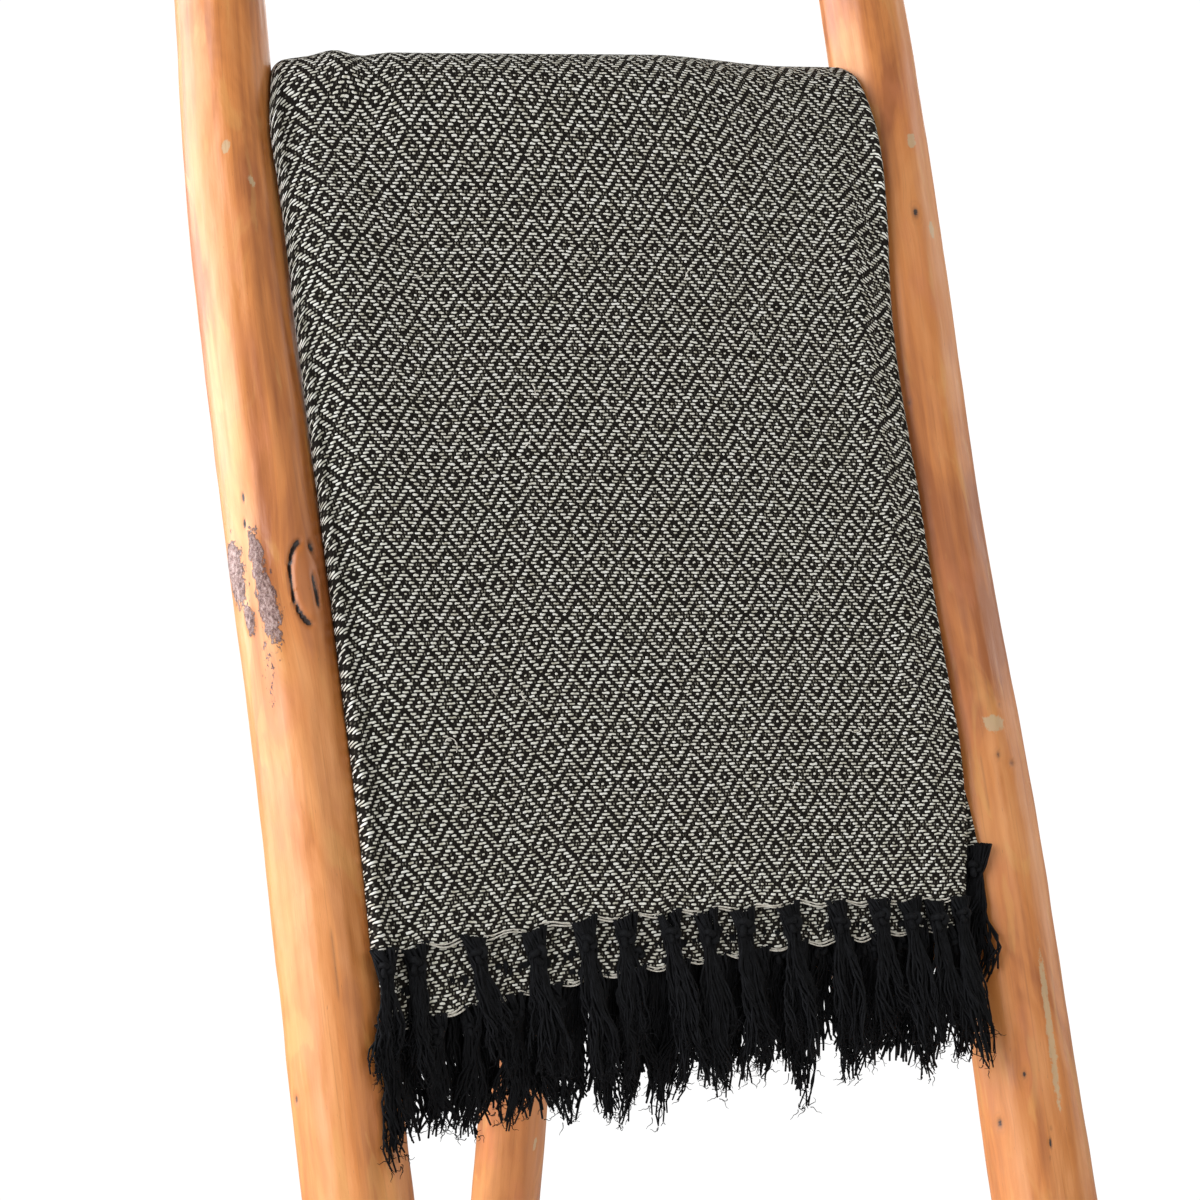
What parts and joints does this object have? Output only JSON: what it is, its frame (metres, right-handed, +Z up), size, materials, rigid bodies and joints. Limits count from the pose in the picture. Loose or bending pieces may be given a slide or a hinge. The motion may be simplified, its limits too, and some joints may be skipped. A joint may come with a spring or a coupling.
{
  "type": "folded throw on a pole rack",
  "caption": "Folded diamond-weave cotton throw with a black knotted fringe, hung over the top rung of a free-standing rack made of peeled and varnished poles.",
  "frame": {"origin": "centre of the bounding box on the floor under the rack", "axes": "+Z up, +X to the right seen from the front, the front faces -Y and the rails lean back towards +Y"},
  "size_m": [0.5236, 0.7978, 1.6074],
  "materials": {
    "pole_wood": "peeled pole, stained orange-brown under a satin varnish, with knots and bark scars",
    "rung_wood": "peeled stick, stained and varnished",
    "peg_wood": "dry hardwood dowel",
    "steel": "plain mill steel, lightly worn",
    "woven_cotton": "cream weft over black warp in concentric diamonds, matt",
    "fringe_yarn": "black cotton yarn, matt, frayed ends"
  },
  "bodies": {
    "rack": {"left_rail": "pole_wood", "right_rail": "pole_wood", "rung_1": "rung_wood", "rung_2": "rung_wood", "rung_3": "rung_wood", "rung_4": "rung_wood", "rung_5": "rung_wood", "left_peg_1": "peg_wood", "left_peg_2": "peg_wood", "left_peg_3": "peg_wood", "left_peg_4": "peg_wood", "left_peg_5": "peg_wood", "right_peg_1": "peg_wood", "right_peg_2": "peg_wood", "right_peg_3": "peg_wood", "right_peg_4": "peg_wood", "right_peg_5": "peg_wood", "stop_screw": "steel"},
    "leg": {"rear_leg": "pole_wood", "leg_strap": "steel", "strap_bolt_1": "steel", "strap_bolt_2": "steel", "strap_nut_1": "steel", "strap_nut_2": "steel"},
    "throw": {"throw_cloth": "woven_cotton", "outer_fringe": "fringe_yarn", "under_fringe": "fringe_yarn"}
  },
  "joints": [
    {"name": "leg_fold", "type": "hinge", "parent": "rack", "child": "leg", "pos_m": [-0.00043, 0.13646, 1.36255], "axis": [1, 0, 0], "range_deg": [-20, 0]},
    {"name": "throw_lift", "type": "slide", "parent": "rack", "child": "throw", "axis": [0, 0, 1], "range_m": [0, 0.7]}
  ]
}
